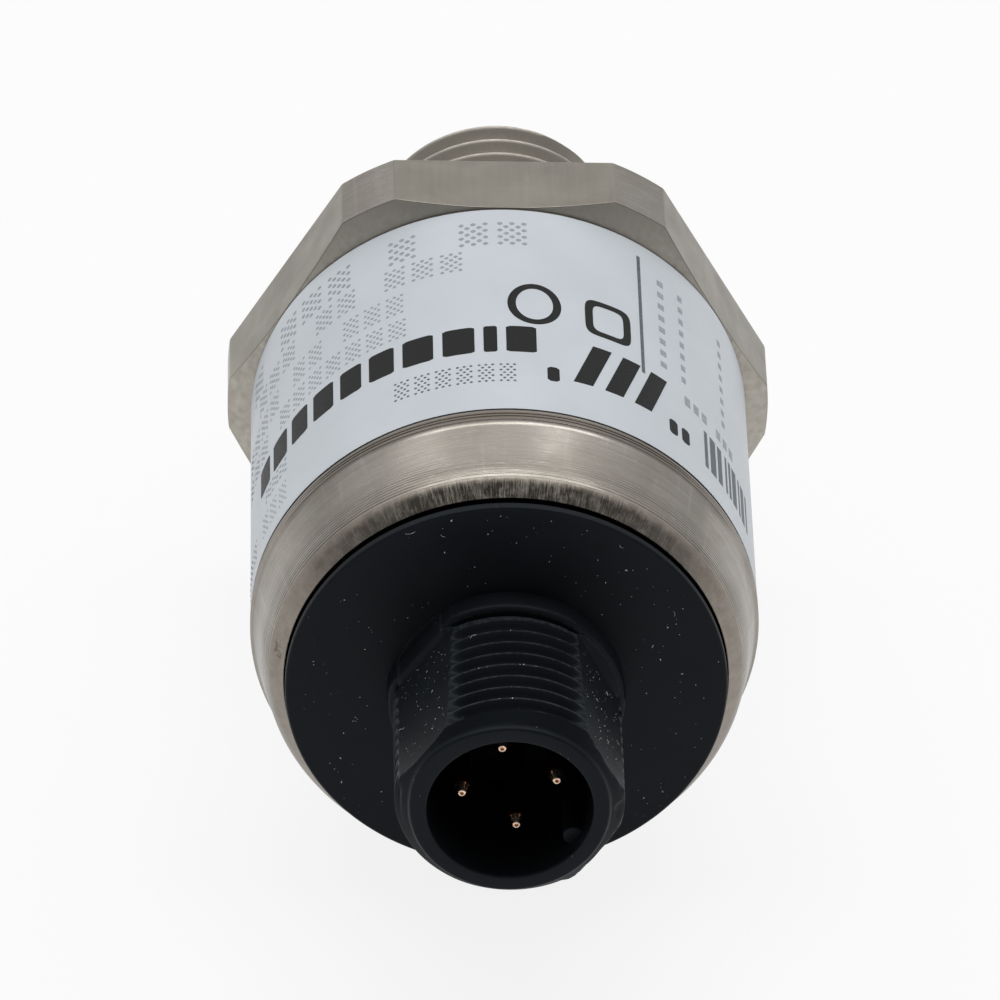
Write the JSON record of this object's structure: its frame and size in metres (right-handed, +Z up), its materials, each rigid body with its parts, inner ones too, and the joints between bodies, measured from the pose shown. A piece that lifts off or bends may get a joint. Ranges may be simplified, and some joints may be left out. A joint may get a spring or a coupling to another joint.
{
  "type": "pressure transmitter",
  "caption": "Pressure transmitter: round steel housing with a wrapped label, moulded M12 connector at one end, hexagon and threaded stud with a face seal at the other.",
  "frame": {"origin": "on the axis, in the sealing face of the collar", "axes": "+Y along the axis from the connector to the threaded stud, +Z up, square to a flat of the hexagon; the part lies on the opposite flat"},
  "size_m": [0.0294, 0.0558, 0.027],
  "materials": {
    "turned_steel": "turned stainless steel, satin",
    "fluororubber": "black fluororubber",
    "natural_plastic": "natural moulded plastic",
    "alumina": "sintered alumina, ground",
    "circuit_board": "glass epoxy board, solder mask",
    "chip_plastic": "moulded epoxy",
    "label_film": "printed polyester film, satin",
    "connector_plastic": "moulded glass-filled polyamide, satin",
    "gold_plating": "gold plating",
    "capacitor_can": "drawn can"
  },
  "bodies": {
    "root": {"process_fitting": "turned_steel", "port_seal_ring": "fluororubber", "cell_seal_ring": "fluororubber", "cell_support_ring": "natural_plastic", "cell_diaphragm": "alumina", "cell_body": "alumina", "cell_clamp_ring": "turned_steel", "cell_board": "circuit_board", "signal_chip": "chip_plastic", "main_board": "circuit_board", "output_chip": "chip_plastic", "connector_board": "circuit_board", "link_header": "connector_plastic", "insulating_liner": "natural_plastic", "housing_sleeve": "turned_steel", "rating_label": "label_film", "connector_housing": "connector_plastic", "flange_o_ring": "fluororubber", "contact_pin_1": "gold_plating", "contact_pin_2": "gold_plating", "contact_pin_3": "gold_plating", "contact_pin_4": "gold_plating", "cell_pin_1": "gold_plating", "cell_pin_2": "gold_plating", "cell_pin_3": "gold_plating", "cell_pin_4": "gold_plating", "capacitor_1": "capacitor_can", "capacitor_2": "capacitor_can", "link_pin_1": "gold_plating", "link_pin_2": "gold_plating", "link_pin_3": "gold_plating", "link_pin_4": "gold_plating"}
  },
  "joints": []
}
